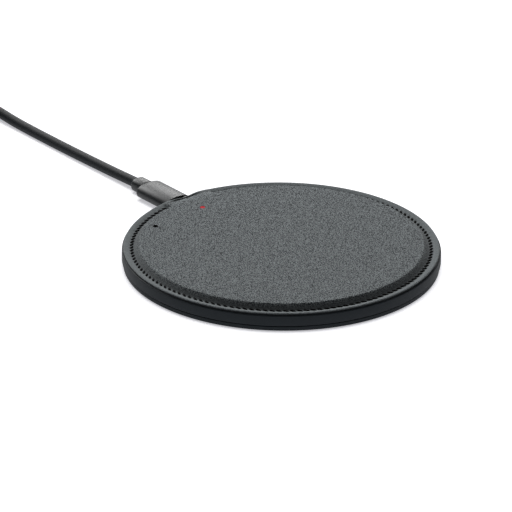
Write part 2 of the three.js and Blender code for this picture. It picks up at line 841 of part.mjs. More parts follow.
function makeTie() {
  // The band is straight across its width, so it clears the coil's curved inner side.
  const inside = Math.sqrt(coilSolidInner ** 2 - (tieWidth / 2) ** 2) - gap;
  const outside = coilSolidOuter + gap;
  const innerWidth = outside - inside;
  const innerHeight = coilTop - coilBottom + 2 * gap;
  const band = roundedBox(innerWidth + 2 * tieThickness, innerHeight + 2 * tieThickness, 1.2);
  band.holes.push(roundedBox(innerWidth, innerHeight, 0.6));
  const z = (coilTop + coilBottom) / 2;
  const loop = alongY(band, -tieWidth / 2, tieWidth / 2, z);
  return loop.translate((outside + inside) / 2, 0, 0).rotateZ(tieAngle);
}

add(object, 'cord', makeLead(), cordBlack);
add(object, 'cord_tail', makeTail(), cordBlack);
const wound = add(object, 'cord_coil', makeWoundCoil(), cordBlack);
wound.position.set(coilCentre.x, coilCentre.y, 0);
const tie = add(object, 'cord_tie', makeTie(), tieBlack);
tie.position.set(coilCentre.x, coilCentre.y, 0);

// ---- USB-A plug at the far end ---------------------------------------------
// Built pointing along +Y from its cable end, then turned to face along -Y.
const usbA = new THREE.Group();
usbA.position.set(tailX, reliefRear, usbAZ);
usbA.rotation.z = Math.PI;
object.add(usbA);

function makeUsbARelief() {
  const body = turned([
    [0, 0],
    [cordDiameter / 2 + 0.7, 0],
    [usbAReliefDiameter / 2, usbAReliefLength * 0.8],
    [usbAReliefDiameter / 2, usbAReliefLength],
    [0, usbAReliefLength],
  ], 20);
  return body.rotateX(-Math.PI / 2);
}

const handleStart = usbAReliefLength + gap;
const handleEnd = handleStart + usbAHandleLength;
const usbATip = handleEnd + usbAReach;

function makeUsbAHandle() {
  const grip = roundedBox(usbAHandleWidth, usbAHandleThickness, 2.6);
  const body = alongY(grip, handleStart, handleEnd, 0, 0.8);
  const socket = roundedBox(usbAWidth + 2 * fit, usbAThickness + 2 * fit, 0.5);
  return cut(body, [alongY(socket, handleEnd - usbAEmbed - fit, handleEnd + 1, 0)]);
}

function makeUsbAShell() {
  const section = roundedBox(usbAWidth, usbAThickness, 0.5);
  section.holes.push(roundedBox(usbAWidth - 2 * usbAWall, usbAThickness - 2 * usbAWall, 0.25));
  return alongY(section, handleEnd - usbAEmbed, usbATip, 0);
}

const insulatorThickness = 1.9;
const insulatorWidth = usbAWidth - 2 * usbAWall - 2 * fit;
const insulatorBottom = -usbAThickness / 2 + usbAWall + fit;
const insulatorTop = insulatorBottom + insulatorThickness;
const insulatorStart = handleEnd - usbAEmbed + fit;
const insulatorLength = usbATip - 0.4 - insulatorStart;
const insulator = block(
  insulatorWidth,
  insulatorLength,
  insulatorThickness,
  0,
  insulatorStart + insulatorLength / 2,
  insulatorBottom,
);

add(usbA, 'usb_a_strain_relief', makeUsbARelief(), plugBlack);
add(usbA, 'usb_a_overmould', makeUsbAHandle(), plugBlack);
add(usbA, 'usb_a_shell', makeUsbAShell(), nickel);
add(usbA, 'usb_a_insulator', insulator, plasticWhite);
[-3.5, -1, 1, 3.5].forEach((x, i) => {
  const length = i === 1 || i === 2 ? 6.4 : 7.4;
  const top = insulatorTop + rest;
  const contact = block(1, length, 0.18, x, usbATip - 1.2 - length / 2, top);
  add(usbA, `usb_a_contact_${i + 1}`, contact, gold);
});

export default object;
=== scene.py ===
"""Round wireless charging pad with a stitched soft top and a plug-in USB lead."""

import math

import bmesh
import bpy
from mathutils import Matrix, Vector


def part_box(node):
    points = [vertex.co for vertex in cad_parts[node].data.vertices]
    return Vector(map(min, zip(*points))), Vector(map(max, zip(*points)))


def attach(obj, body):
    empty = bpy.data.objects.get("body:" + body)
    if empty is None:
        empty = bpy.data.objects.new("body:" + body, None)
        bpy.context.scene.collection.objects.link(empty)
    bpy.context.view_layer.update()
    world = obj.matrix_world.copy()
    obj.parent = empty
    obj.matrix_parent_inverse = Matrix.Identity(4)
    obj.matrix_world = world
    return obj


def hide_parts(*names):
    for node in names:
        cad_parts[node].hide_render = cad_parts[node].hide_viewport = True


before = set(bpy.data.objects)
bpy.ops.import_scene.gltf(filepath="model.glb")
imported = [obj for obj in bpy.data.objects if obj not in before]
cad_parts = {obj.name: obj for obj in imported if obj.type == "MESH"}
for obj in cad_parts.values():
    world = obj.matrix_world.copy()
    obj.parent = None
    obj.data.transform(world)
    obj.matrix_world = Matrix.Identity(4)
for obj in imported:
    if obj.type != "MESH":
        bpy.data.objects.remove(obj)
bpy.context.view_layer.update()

MM = 0.001                       # a millimetre in the scene's metres
FULL_TURN = 2 * math.pi

# ---- Sizes read from the frame -----------------
SKIN_LOW, SKIN_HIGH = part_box("top_skin")
SHELL_LOW, SHELL_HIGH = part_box("top_shell")
BASE_LOW, BASE_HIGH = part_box("base_shell")
RING_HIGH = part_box("anti_slip_ring")[1]
PORT_LOW, PORT_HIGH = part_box("receptacle_shell")
BODY_LOW, BODY_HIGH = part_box("usb_c_overmould")
RELIEF_LOW, RELIEF_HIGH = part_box("usb_c_strain_relief")
PAD_RADIUS = SHELL_HIGH.x
PAD_HEIGHT = SKIN_HIGH.z
SKIN_EDGE = SKIN_HIGH.x
PORT_Z = (PORT_LOW.z + PORT_HIGH.z) / 2
CONNECTOR = math.radians(90)

# ---- Sizes of the soft top ---------------------
RIM_DROP = 1.03 * MM             # flat of the skin down to the crown of the rim
BAND_WIDTH = 2.3 * MM            # rim band outside the stitched groove
BAND_FALL = 0.6 * MM             # outer edge of the rim down to its inner side
LIP_DROP = 0.6 * MM              # rim band's inner lip, rolled down into the groove
EDGE_ROUND = 0.22 * MM           # outer edge of the skin, rolled over
EDGE_STEPS = 4
GROOVE_WIDTH = 0.8 * MM
GROOVE_DEPTH = 0.5 * MM
SHOULDER_WIDTH = 1.9 * MM        # straight shoulder from the groove up to the flat
RUN_OUT_ANGLE = math.radians(11.2)   # half the arc where the skin runs on to the edge
SCALLOP_WIDTH = 10.4 * MM
SCALLOP_DEPTH = 0.9 * MM
SCALLOP_FROM = 44.5 * MM         # radius past which the scallop draws the skin in
LIGHT_HOLE = 0.9 * MM            # radius of the skin's two small holes
STITCH_COUNT = 130
STITCH_SLANT = math.radians(-30)
STITCH_LENGTH = 2.05 * MM
STITCH_DIP = 0.12 * MM           # how far a thread's ends turn down into the needle holes
THREAD_WIDTH = 0.75 * MM
THREAD_HEIGHT = 0.44 * MM
THREAD_LIFT = 0.08 * MM          # middle of the thread above the groove
DIMPLE_DEPTH = 0.18 * MM
DIMPLE_END = 0.3 * MM            # how soon a dimple fades past the ends of its thread
DIMPLE_SIDE = 0.38 * MM          # and beside it
DIMPLE_REACH = 1.0 * MM          # and how far inside the groove it is felt

# Rings of the skin's face as (from, to, count), in millimetres, closest where it bends most.
SKIN_SPANS = ((0.0, 36.0, 6), (36.0, 43.6, 5), (43.6, 45.6, 12), (45.6, 47.9, 18), (47.9, 49.28, 8))
SKIN_STEPS = 8 * STITCH_COUNT    # steps round the skin

# Where the skin runs out over the connector.
RUN_OUT_FALL = 0.95 * MM
RUN_OUT_SPAN = (43.2 * MM, 48.9 * MM)    # where it comes down
RUN_OUT_SIDE = (4.2 * MM, 6.4 * MM)      # beside the connector, where its hollow fades out
DIP_DEPTH = 0.5 * MM
DIP_SPAN = (46.8 * MM, 48.1 * MM)        # where its pressed hollow sinks
WELT_HEIGHT = 0.34 * MM
WELT_SPAN = (48.5 * MM, 48.95 * MM)      # where its raised edge stands up again

# ---- Sizes of the lead -------------------------
CORD_DIAMETER = 3.4 * MM
COIL_COLUMNS = 4
COIL_LAYERS = 2
COIL_TURNS = 7.5
NOSE_WIDTH = 9.2 * MM
NOSE_HEIGHT = 3.9 * MM
NOSE_LENGTH = 1.4 * MM
GRIP_SQUARENESS = 2.3
COLLAR_SQUARENESS = 2.4
SOCKET_FIT = 0.3 * MM            # play round a metal shell in its grip, over both sides
POCKET_FIT = 0.15 * MM           # play past its end

# ---- Sizes of the shells -----------------------
RING_WIDTH = 5.2 * MM
UPPER_BOSS, LOWER_BOSS = 2.0 * MM, 2.8 * MM      # radii
PILOT_HOLE, SHANK_ROOM, HEAD_ROOM = 0.85 * MM, 1.0 * MM, 1.9 * MM
POWER_PIPE_ROOM, STATUS_PIPE_ROOM = 0.95 * MM, 0.85 * MM
CLEAR_ABOVE = 9 * MM             # top of a cutter that passes right through the pad

# ---- Camera ------------------------------------
CAMERA_AZIMUTH = -39.4           # degrees from straight in front


def make_camera():
    """A long lens, low over the front left of the pad, with the connector at the back left."""
    azimuth, elevation, roll = (math.radians(a) for a in (CAMERA_AZIMUTH, 24.57, -0.515))
    distance = 2.507
    across, down = 0.003165, 0.001114    # pad's centre off the lens axis, as tangents
    ahead = Vector((-math.sin(azimuth) * math.cos(elevation),
                    math.cos(azimuth) * math.cos(elevation),
                    -math.sin(elevation)))
    level = Vector((math.cos(azimuth), math.sin(azimuth), 0))
    below = ahead.cross(level)
    right = math.cos(roll) * level + math.sin(roll) * below
    low = -math.sin(roll) * level + math.cos(roll) * below
    data = bpy.data.cameras.new("camera")
    data.sensor_width = 36
    data.lens = 562.5
    data.clip_start, data.clip_end = 0.1, 100
    camera = bpy.data.objects.new("camera", data)
    bpy.context.scene.collection.objects.link(camera)
    place = -distance * (ahead + across * right + down * low)
    turn = Matrix((right, -low, -ahead)).transposed()
    camera.matrix_world = Matrix.Translation(place) @ turn.to_4x4()
    bpy.context.scene.camera = camera


make_camera()


# ---- Colour and nodes --------------------------
def linear(hex_colour):
    """An sRGB hex colour as the linear RGBA that a shader socket takes."""
    shares = [int(hex_colour[i:i + 2], 16) / 255 for i in (1, 3, 5)]
    return [s / 12.92 if s <= 0.04045 else ((s + 0.055) / 1.055) ** 2.4 for s in shares] + [1.0]


def node(material, kind, settings=None, **links):
    """Add a node. Settings are its own values; links are its sockets' values or sources."""
    made = material.node_tree.nodes.new(kind)
    for name, value in (settings or {}).items():
        setattr(made, name, value)
    for name, value in links.items():
        spot = int(name[1:]) if name[0] == "i" and name[1:].isdigit() else name.replace("_", " ")
        if isinstance(value, bpy.types.NodeSocket):
            material.node_tree.links.new(value, made.inputs[spot])
        else:
            made.inputs[spot].default_value = value
    return made


def new_material(name):
    """An empty node material."""
    made = bpy.data.materials.new(name)
    made.use_nodes = True
    made.node_tree.nodes.clear()
    return made


def grained(name, dark, light, grain, roughness, bump, **shading):
    """A surface whose colour, gloss and relief all follow one fine grain.

    dark and light are hex colours, grain and bump are in millimetres, roughness is a range.
    """
    made = new_material(name)
    place = node(made, "ShaderNodeTexCoord").outputs["Object"]
    fine = node(made, "ShaderNodeTexNoise", Vector=place, Scale=1 / (grain * MM), Detail=3.0,
                Roughness=0.55).outputs[0]
    broad = node(made, "ShaderNodeTexNoise", Vector=place, Scale=1 / (14 * grain * MM),
                 Detail=2.0).outputs[0]
    both = node(made, "ShaderNodeMath", {"operation": "MULTIPLY_ADD"},
                i0=broad, i1=0.35, i2=fine).outputs[0]
    spread = node(made, "ShaderNodeMapRange", Value=both, From_Min=0.35, From_Max=1.0).outputs[0]
    colour = node(made, "ShaderNodeMix", {"data_type": "RGBA"},
                  i0=spread, i6=linear(dark), i7=linear(light)).outputs[2]
    gloss = node(made, "ShaderNodeMapRange", Value=both, From_Min=0.35, From_Max=1.0,
                 To_Min=roughness[0], To_Max=roughness[1]).outputs[0]
    relief = node(made, "ShaderNodeBump", Height=fine, Distance=bump * MM).outputs[0]
    shader = node(made, "ShaderNodeBsdfPrincipled", Base_Color=colour, Roughness=gloss,
                  Normal=relief, **shading).outputs[0]
    node(made, "ShaderNodeOutputMaterial", Surface=shader)
    return made


# ---- Materials ---------------------------------
def suede_leather():
    """Recycled leather with a brushed, suede-like face: matt, and speckled by its short nap.

    Where it is drawn down to the seam, the nap is smoother and lighter; on the welt over the
    connector the same lightening is a painted highlight. Painted shade darkens the shoulder's
    slope and the hollow over the connector, and painted shadow darkens the dimples round the
    stitches.
    The nap is drawn coarser than the real one, which is too fine to show.
    """
    made = new_material("recycled_suede_leather")
    place = node(made, "ShaderNodeTexCoord").outputs["Object"]
    # The first attribute smooths and lightens the nap; on the welt over the connector that lightening
    # is a painted highlight.
    drawn = node(made, "ShaderNodeAttribute", {"attribute_name": "smooth_nap_and_highlight"}).outputs["Fac"]
    # The second attribute is painted shade: it darkens the shoulder's slope, the dimples round the
    # stitches and the hollow over the connector.
    painted_shade = node(made, "ShaderNodeAttribute", {"attribute_name": "painted_shade"}).outputs["Fac"]
    nap = node(made, "ShaderNodeTexNoise", Vector=place, Scale=1 / (0.34 * MM),
               Detail=0.0).outputs[0]
    fleck = node(made, "ShaderNodeTexNoise", Vector=place, Scale=1 / (1.9 * MM), Detail=2.0,
                 Roughness=0.6).outputs[0]
    both = node(made, "ShaderNodeMath", {"operation": "MULTIPLY_ADD"},
                i0=fleck, i1=0.1, i2=nap).outputs[0]
    spread = node(made, "ShaderNodeMapRange", Value=both, From_Min=0.485, From_Max=0.61).outputs[0]
    speckle = node(made, "ShaderNodeMix", i0=drawn, i2=spread, i3=0.72).outputs[0]
    colour = node(made, "ShaderNodeMix", {"data_type": "RGBA"},
                  i0=speckle, i6=linear("#22272a"), i7=linear("#7a8082")).outputs[2]
    darkened = node(made, "ShaderNodeMix", {"data_type": "RGBA"},
                    i0=painted_shade, i6=colour, i7=linear("#0b0c0d")).outputs[2]
    relief = node(made, "ShaderNodeBump", Height=nap, Distance=0.14 * MM).outputs[0]
    shader = node(made, "ShaderNodeBsdfPrincipled", Base_Color=darkened, Roughness=0.95,
                  Normal=relief, Specular_IOR_Level=0.2, Sheen_Weight=0.1,
                  Sheen_Roughness=0.5).outputs[0]
    node(made, "ShaderNodeOutputMaterial", Surface=shader)
    return made


def painted_hole_shade():
    """Walls of the skin's small holes, painted black as the shade inside them."""
    return grained("painted_shade_in_holes", "#060606", "#101010", 0.4, (0.9, 1.0), 0.02,
                   Specular_IOR_Level=0.1)


def shaded_skin_edge():
    """Leather's outer edge and underside, dark as painted shade under the rim: smooth."""
    return grained("painted_shade_leather_edge", "#14171a", "#1e2225", 0.6, (0.6, 0.75), 0.01,
                   Specular_IOR_Level=0.2)


def sewing_thread():
    """Bonded polyester thread: black and matt, with its twist showing as fine ridges."""
    return grained("polyester_thread", "#030304", "#080809", 0.2, (0.8, 0.95), 0.02,
                   Specular_IOR_Level=0.05)


def moulded_abs():
    """Moulded ABS with a fine spark-eroded face: charcoal, soft highlights."""
    return grained("moulded_abs", "#171c20", "#1f2529", 0.35, (0.6, 0.7), 0.004,
                   Specular_IOR_Level=0.15)


def silicone_rubber():
    """Moulded silicone: matt black, a little dusty."""
    return grained("silicone_rubber", "#101112", "#1a1b1c", 0.6, (0.75, 0.9), 0.01)


def polyester_film():
    """Printed polyester film, left blank: smooth mid grey."""
    return grained("polyester_film", "#4a4d50", "#53565a", 0.5, (0.5, 0.6), 0.004)


def zinc_plate():
    """Zinc-plated steel: bright blue-grey metal with a fine uneven gloss."""
    return grained("zinc_plated_steel", "#9a9ea3", "#b4b8bd", 0.3, (0.25, 0.42), 0.004,
                   Metallic=1.0)


def black_plate():
    """Black-plated steel of the socket: dark metal that stays unseen in its recess."""
    return grained("black_plated_steel", "#1d1e20", "#2a2b2d", 0.25, (0.25, 0.4), 0.003,
                   Metallic=1.0)


def nickel_plate():
    """Nickel-plated steel of a plug's shell: warm bright metal."""
    return grained("nickel_plated_steel", "#b3afa6", "#c9c5bb", 0.3, (0.18, 0.3), 0.002,
                   Metallic=1.0)


def gold_plate():
    """Gold-plated spring contacts: smooth yellow metal."""
    return grained("gold_plate", "#c79a3e", "#dcb35c", 0.3, (0.2, 0.3), 0.002, Metallic=1.0)


def enamelled_copper():
    """Enamelled copper wire: deep orange under a clear varnish."""
    return grained("enamelled_copper", "#8a4420", "#b4653a", 0.4, (0.25, 0.4), 0.01,
                   Metallic=0.9, Coat_Weight=0.5, Coat_Roughness=0.15)


def sintered_ferrite():
    """Sintered ferrite: dark grey ceramic, slightly speckled."""
    return grained("sintered_ferrite", "#1d1c1e", "#2f2e31", 0.5, (0.55, 0.75), 0.01)


def board_laminate():
    """Glass-fibre laminate under green solder mask: glossy, with the weave just showing."""
    return grained("solder_masked_laminate", "#0f3b26", "#185237", 0.7, (0.3, 0.42), 0.006)


def epoxy_package():
    """Moulded epoxy of chips and chokes: black, dry gloss."""
    return grained("moulded_epoxy", "#111214", "#1b1c1e", 0.2, (0.4, 0.55), 0.004)


def capacitor_ceramic():
    """Fired ceramic of capacitors: tan, satin."""
    return grained("fired_ceramic", "#8b6a45", "#a58258", 0.4, (0.4, 0.5), 0.003)


def white_plastic():
    """White moulded plastic of lamp packages and plug tongues."""
    return grained("white_polyamide", "#cfcfc8", "#e0e0da", 0.4, (0.35, 0.45), 0.003)


def black_polymer():
    """Black liquid-crystal polymer of connector tongues: smooth, faint flow marks."""
    return grained("liquid_crystal_polymer", "#0e0f10", "#181a1b", 0.5, (0.35, 0.5), 0.003)


def open_cell_foam():
    """Dark open-cell foam: matt, full of fine pores."""
    return grained("open_cell_foam", "#232425", "#3b3c3e", 0.45, (0.9, 1.0), 0.15)


def plug_elastomer():
    """Moulded elastomer of the plug grips: charcoal, satin, very fine grain."""
    return grained("moulded_elastomer", "#0f1316", "#161a1d", 0.3, (0.44, 0.5), 0.003,
                   Specular_IOR_Level=0.3)


def cord_jacket():
    """Extruded elastomer jacket: charcoal, satin, smooth along its length."""
    return grained("extruded_cord_jacket", "#1b1e21", "#202427", 0.4, (0.56, 0.62), 0.002,
                   Specular_IOR_Level=0.14)


def loop_tape():
    """Hook-and-loop tape: black, fuzzy with short nylon loops."""
    return grained("nylon_loop_tape", "#0f1011", "#26272a", 0.3, (0.85, 1.0), 0.2,
                   Sheen_Weight=0.3)


def lit_light_guide():
    """Clear acrylic rod lit red from below: a small, slightly uneven glowing dot."""
    made = new_material("lit_acrylic")
    place = node(made, "ShaderNodeTexCoord").outputs["Object"]
    cloud = node(made, "ShaderNodeTexNoise", Vector=place, Scale=1 / (0.8 * MM)).outputs[0]
    glow = node(made, "ShaderNodeMix", {"data_type": "RGBA"}, i0=cloud, i6=linear("#b8262e"),
                i7=linear("#d8404a")).outputs[2]
    shader = node(made, "ShaderNodeBsdfPrincipled", Base_Color=linear("#6a0c12"),
                  Emission_Color=glow, Emission_Strength=0.6, Roughness=0.9,
                  Specular_IOR_Level=0.1).outputs[0]
    node(made, "ShaderNodeOutputMaterial", Surface=shader)
    return made


def unlit_light_guide():
    """Clear acrylic rod, unlit, seen end on as a dark bead."""
    return grained("unlit_acrylic", "#101214", "#202327", 0.6, (0.1, 0.2), 0.002)


SUEDE = suede_leather()
HOLE_SHADE = painted_hole_shade()
EDGE_SHADE = shaded_skin_edge()
THREAD = sewing_thread()
ABS = moulded_abs()
SILICONE = silicone_rubber()
FILM = polyester_film()
ZINC = zinc_plate()
BLACK_PLATE = black_plate()
NICKEL = nickel_plate()
GOLD = gold_plate()
COPPER = enamelled_copper()
FERRITE = sintered_ferrite()
LAMINATE = board_laminate()
EPOXY = epoxy_package()
CERAMIC = capacitor_ceramic()
WHITE = white_plastic()
POLYMER = black_polymer()
FOAM = open_cell_foam()
ELASTOMER = plug_elastomer()
JACKET = cord_jacket()
LOOP_TAPE = loop_tape()
LIT = lit_light_guide()
UNLIT = unlit_light_guide()


# ---- Mesh helpers ------------------------------
def finished(name, bm, materials, body, sharp=35):
    """Turn a bmesh into a piece that rides on a CAD body, smooth but for its sharp edges."""
    bmesh.ops.remove_doubles(bm, verts=bm.verts, dist=1e-7)
    bmesh.ops.dissolve_degenerate(bm, dist=1e-8, edges=bm.edges)
    bmesh.ops.recalc_face_normals(bm, faces=bm.faces)
    for face in bm.faces:
        face.smooth = True
    for edge in bm.edges:
        edge.smooth = len(edge.link_faces) != 2 or edge.calc_face_angle(0) < math.radians(sharp)
    mesh = bpy.data.meshes.new(name)
    bm.to_mesh(mesh)
    bm.free()
    for material in materials if isinstance(materials, list) else [materials]:
        mesh.materials.append(material)
    piece = bpy.data.objects.new(name, mesh)
    bpy.context.scene.collection.objects.link(piece)
    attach(piece, body)
    return piece


def rounded(corners, steps=5):
    """An outline with its corners rounded: each corner is (across, up, radius)."""
    points = []
    count = len(corners)
    for i, (x, y, radius) in enumerate(corners):
        corner = Vector((x, y))
        if radius == 0 or i in (0, count - 1):
            points.append(corner)
            continue
        back = (Vector(corners[i - 1][:2]) - corner).normalized()
        onward = (Vector(corners[i + 1][:2]) - corner).normalized()
        half = back.angle(onward) / 2
        reach = radius / math.tan(half)
        centre = corner + (back + onward).normalized() * radius / math.sin(half)
        start = corner + back * reach - centre
        end = corner + onward * reach - centre
        sweep = start.angle_signed(end)
        for k in range(steps + 1):
            angle = -sweep * k / steps
            turn = Matrix.Rotation(angle, 2)
            points.append(centre + turn @ start)
    return points


def spun(outline, steps, closed=False):
    """A solid of revolution about the pad's axis from (radius, height) points."""
    bm = bmesh.new()
    verts = [bm.verts.new((p[0], 0, p[1])) for p in outline]
    edges = [bm.edges.new(pair) for pair in zip(verts, verts[1:])]
    if closed:
        edges.append(bm.edges.new((verts[-1], verts[0])))
    bmesh.ops.spin(bm, geom=verts + edges, cent=(0, 0, 0), axis=(0, 0, 1), dvec=(0, 0, 0),
                   angle=FULL_TURN, steps=steps, space=Matrix.Identity(4), use_merge=True,
                   use_normal_flip=False, use_duplicate=False)
    bmesh.ops.remove_doubles(bm, verts=bm.verts, dist=1e-7)
    return bm


def bridged(bm, loops, cap=True):
    """Skin a row of vertex loops of equal count, and close its ends."""
    rings = []
    for loop in loops:
        verts = [bm.verts.new(p) for p in loop]
        rings.append([bm.edges.new((a, b)) for a, b in zip(verts, verts[1:] + verts[:1])])
    for first, second in zip(rings, rings[1:]):
        bmesh.ops.bridge_loops(bm, edges=first + second)
    if cap:
        for ring in (rings[0], rings[-1]):
            bmesh.ops.contextual_create(bm, geom=ring)
    return bm


def oval(width, height, squareness, count=64):
    """A flattened oval, squarer than an ellipse, as (across, up) points."""
    points = []
    for i in range(count):
        c, s = math.cos(i / count * FULL_TURN), math.sin(i / count * FULL_TURN)
        points.append((math.copysign(width / 2 * abs(c) ** (2 / squareness), c),
                       math.copysign(height / 2 * abs(s) ** (2 / squareness), s)))
    return points


def stadium(width, height, steps=12):
    """A slot shape with round ends, as (across, up) points."""
    radius, half = height / 2, (width - height) / 2
    points = []
    for side, start in ((1, -0.25), (-1, 0.25)):
        for k in range(steps + 1):
            angle = (start + 0.5 * k / steps) * FULL_TURN
            points.append((side * half + radius * math.cos(angle), radius * math.sin(angle)))
    return points


def rounded_box(width, height, radius, steps=6):
    """A rectangle with round corners, as (across, up) points."""
    points = []
    for quarter, (sx, sy) in enumerate(((1, -1), (1, 1), (-1, 1), (-1, -1))):
        for k in range(steps + 1):
            angle = (quarter - 1 + k / steps) * math.pi / 2
            points.append((sx * (width / 2 - radius) + radius * math.cos(angle),
                           sy * (height / 2 - radius) + radius * math.sin(angle)))
    return points


def grip(section, start, end, middle, rounding, steps=5):
    """A moulded grip along Y with rounded ends. middle is (x, z); rounding is (start, end)."""
    width = max(x for x, _ in section)
    height = max(z for _, z in section)
    stations = []
    for place, radius, way in ((start, rounding[0], 1), (end, rounding[1], -1)):
        arc = []
        for k in range(steps + 1):
            angle = k / steps * math.pi / 2
            arc.append((place + way * radius * (1 - math.sin(angle)), radius * (1 - math.cos(angle))))
        stations.append(arc if way < 0 else arc[::-1])
    loops = []
    for y, inset in [s for arc in stations for s in arc]:
        sx, sz = 1 - inset / width, 1 - inset / height
        loops.append([(middle[0] + x * sx, y, middle[1] + z * sz) for x, z in section])
    return bridged(bmesh.new(), loops)


def prism_y(section, start, end, middle):
    """A straight bar along Y of one section."""
    loops = [[(middle[0] + x, y, middle[1] + z) for x, z in section] for y in (start, end)]
    return bridged(bmesh.new(), loops)


def sleeve(outer, inner, start, end, middle, rounding):
    """An open tube along Y between two matching sections, its lips rounded."""
    loops = []
    for section, stations in ((outer, (start + rounding, end - rounding)), (inner, (end, start))):
        for y in stations:
            loops.append([(middle[0] + x, y, middle[1] + z) for x, z in section])
    return bridged(bmesh.new(), loops + loops[:1], cap=False)


def temporary(bm):
    """A throwaway object of a bmesh, for cutting or joining."""
    bmesh.ops.remove_doubles(bm, verts=bm.verts, dist=1e-8)
    bmesh.ops.recalc_face_normals(bm, faces=bm.faces)
    mesh = bpy.data.meshes.new("tool")
    bm.to_mesh(mesh)
    bm.free()
    for _ in range(2):          # slots enough for a cutter's faces to keep their own material
        mesh.materials.append(None)
    made = bpy.data.objects.new("tool", mesh)
    bpy.context.scene.collection.objects.link(made)
    return made


def combined(bm, tools, operation):
    """The bmesh after each tool is cut from it or joined to it."""
    body = temporary(bm)
    helpers = [temporary(tool) for tool in tools]
    for helper in helpers:
        change = body.modifiers.new("cut", "BOOLEAN")
        change.operation, change.object, change.solver = operation, helper, "EXACT"
    view = bpy.context.evaluated_depsgraph_get()
    result = bmesh.new()
    result.from_mesh(body.evaluated_get(view).to_mesh())
    for used in [body, *helpers]:
        bpy.data.objects.remove(used)
    return result


def cylinder(radius, low, high, x=0.0, y=0.0, segments=32):
    """An upright cylinder."""
    bm = bmesh.new()
    bmesh.ops.create_cone(bm, cap_ends=True, segments=segments, radius1=radius, radius2=radius,
                          depth=high - low, matrix=Matrix.Translation((x, y, (low + high) / 2)))
    return bm


def box(low, high):
    """An upright block between two corners."""
    low, high = Vector(low), Vector(high)
    bm = bmesh.new()
    size = Matrix.Diagonal((high - low).to_4d())
    size[3][3] = 1
    bmesh.ops.create_cube(bm, size=1, matrix=Matrix.Translation((low + high) / 2) @ size)
    return bm


def middle_of(name):
    """Centre of a CAD node's box."""
    low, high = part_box(name)
    return (low + high) / 2


# ---- The lead's cord ---------------------------
COIL_LOW, COIL_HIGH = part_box("cord_coil")
COIL_CENTRE = (COIL_LOW + COIL_HIGH) / 2
TURN_PITCH = (COIL_HIGH.z - COIL_LOW.z) / COIL_LAYERS
TURN_OUTER = (COIL_HIGH.x - COIL_LOW.x) / 2 - TURN_PITCH / 2


def between(points, share):
    """A point on the smooth line through evenly parameterised points."""
    spot = min(share, 0.999999) * (len(points) - 1)
    i = int(spot)
    t = spot - i
    a, b = points[i], points[i + 1]
    before = points[i - 1] if i else 2 * a - b
    after = points[i + 2] if i + 2 < len(points) else 2 * b - a
    return 0.5 * (2 * a + (b - before) * t + (2 * before - 5 * a + 4 * b - after) * t ** 2
                  + (3 * a - before - 3 * b + after) * t ** 3)


def straight_route():
    """From the strain relief down to the surface and along it to the coil."""
    low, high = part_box("cord")
    start, stop = low.y, high.y
    layer = COIL_LOW.z + TURN_PITCH / 2
    lying = CORD_DIAMETER / 2 + 0.03 * MM
    collar_z = (RELIEF_LOW.z + RELIEF_HIGH.z) / 2
    heights = [(0, collar_z), (0.04, collar_z - 0.1 * MM), (0.16, collar_z - 0.4 * MM),
               (0.35, lying + 0.1 * MM), (0.55, lying),
               (0.75, lying + 0.15 * MM), (0.9, layer - 0.1 * MM), (1, layer)]
    points = [Vector((0, start + share * (stop - start), z)) for share, z in heights]
    points.append(Vector((0, COIL_CENTRE.y, layer)))
    count = 42                # the coil's first point follows the last of these
    return [between(points, k / count) for k in range(count)]


def wound_route():
    """Turns beside each other inwards, then one layer up and outwards again."""
    steps_per_turn = 48
    count = int(COIL_TURNS * steps_per_turn)
    crossing = 0.3            # share of a turn in which the cord moves to the next place
    places = [(column, 0) for column in range(COIL_COLUMNS)]
    places += [(column, 1) for column in reversed(range(COIL_COLUMNS))]
    points = []
    for k in range(count + 1):
        turn = k / steps_per_turn
        whole = min(int(turn), len(places) - 1)
        late = max(0.0, (turn - whole - (1 - crossing)) / crossing)
        blend = late * late * (3 - 2 * late)
        now, following = places[whole], places[min(whole + 1, len(places) - 1)]
        column = now[0] + (following[0] - now[0]) * blend
        layer = now[1] + (following[1] - now[1]) * blend
        radius = TURN_OUTER - column * TURN_PITCH
        angle = turn * FULL_TURN
        points.append(Vector((COIL_CENTRE.x + radius * math.cos(angle),
                              COIL_CENTRE.y + radius * math.sin(angle),
                              COIL_LOW.z + (layer + 0.5) * TURN_PITCH)))
    return points


def tail_route():
    """Off the coil's top layer and down to the far plug, which lies beside the coil."""
    low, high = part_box("cord_tail")
    x = (low.x + high.x) / 2
    top = COIL_LOW.z + (COIL_LAYERS - 0.5) * TURN_PITCH
    plug = middle_of("usb_a_strain_relief").z
    run = high.y - low.y
    start = COIL_CENTRE.y - 4 * MM       # still beside the coil
    points = [Vector((x, start, top)), Vector((x, high.y, top)),
              Vector((x, high.y - 0.15 * run, top)), Vector((x, high.y - 0.8 * run, plug)),
              Vector((x, low.y, plug))]
    count = 20
    return [between(points, k / count) for k in range(count + 1)]


def make_cord():
    """The whole cord as one tube, with the point where it leaves its plug and its length."""
    route = straight_route() + wound_route() + tail_route()
    length = sum((b - a).length for a, b in zip(route, route[1:]))
    curve = bpy.data.curves.new("lead_cord", "CURVE")
    curve.dimensions = "3D"
    curve.bevel_depth = CORD_DIAMETER / 2
    curve.bevel_resolution = 5
    curve.use_fill_caps = True
    line = curve.splines.new("POLY")
    line.points.add(len(route) - 1)
    for spot, point in zip(line.points, route):
        spot.co = (*point, 1)
    curve.materials.append(JACKET)
    piece = bpy.data.objects.new("lead_cord", curve)
    bpy.context.scene.collection.objects.link(piece)
    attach(piece, "lead")
    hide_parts("cord", "cord_coil", "cord_tail")
    return piece, route[0], length


cord, cord_exit, cord_length = make_cord()


